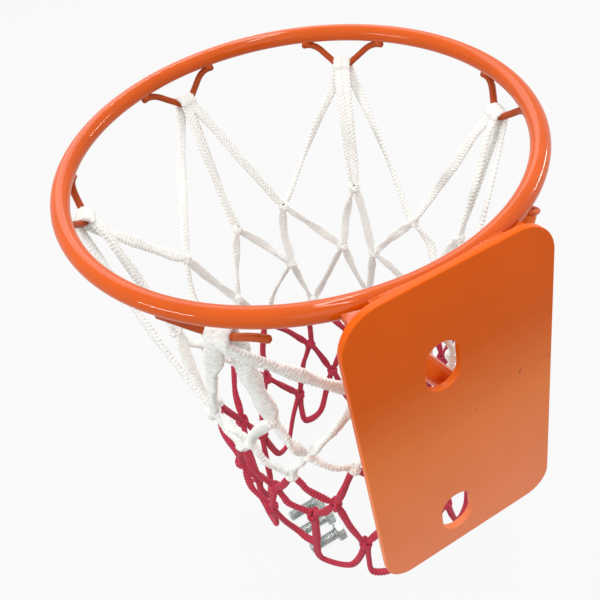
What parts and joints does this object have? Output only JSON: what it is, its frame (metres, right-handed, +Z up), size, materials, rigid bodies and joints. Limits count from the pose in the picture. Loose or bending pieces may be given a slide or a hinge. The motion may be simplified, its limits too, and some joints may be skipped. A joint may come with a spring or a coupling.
{
  "type": "mini basketball hoop",
  "caption": "Wall-mounted mini basketball hoop: coated steel rod ring on a slotted plate, braces, wire net hooks, knotted white and red cord net and loose hex bolts.",
  "frame": {"origin": "middle of the back plate's back face, which lies against the wall", "axes": "+Y out of the plate's back face into the wall, +Z up, the hoop stands out towards -Y and X runs along the wall"},
  "size_m": [0.26, 0.2629, 0.3164],
  "materials": {
    "plate_coat": "satin powder coat, a little worn",
    "ring_coat": "glossy powder coat",
    "bracket_coat": "glossy powder coat over welds",
    "hook_coat": "glossy powder coat on bent wire",
    "white_cord": "braided flat cord",
    "red_cord": "braided round cord",
    "zinc": "zinc plated"
  },
  "bodies": {
    "root": {"back_plate": "plate_coat", "rim_ring": "ring_coat", "gusset_left": "bracket_coat", "gusset_right": "bracket_coat", "brace_left": "bracket_coat", "brace_right": "bracket_coat", "net_hook_1": "hook_coat", "net_hook_2": "hook_coat", "net_hook_3": "hook_coat", "net_hook_4": "hook_coat", "net_hook_5": "hook_coat", "net_hook_6": "hook_coat", "net_row_1": "white_cord", "net_row_2": "white_cord", "net_row_3": "white_cord", "net_row_4": "red_cord", "net_row_5": "red_cord", "net_row_6": "red_cord", "mounting_bolt_1": "zinc", "mounting_bolt_2": "zinc", "mounting_bolt_3": "zinc"}
  },
  "joints": []
}
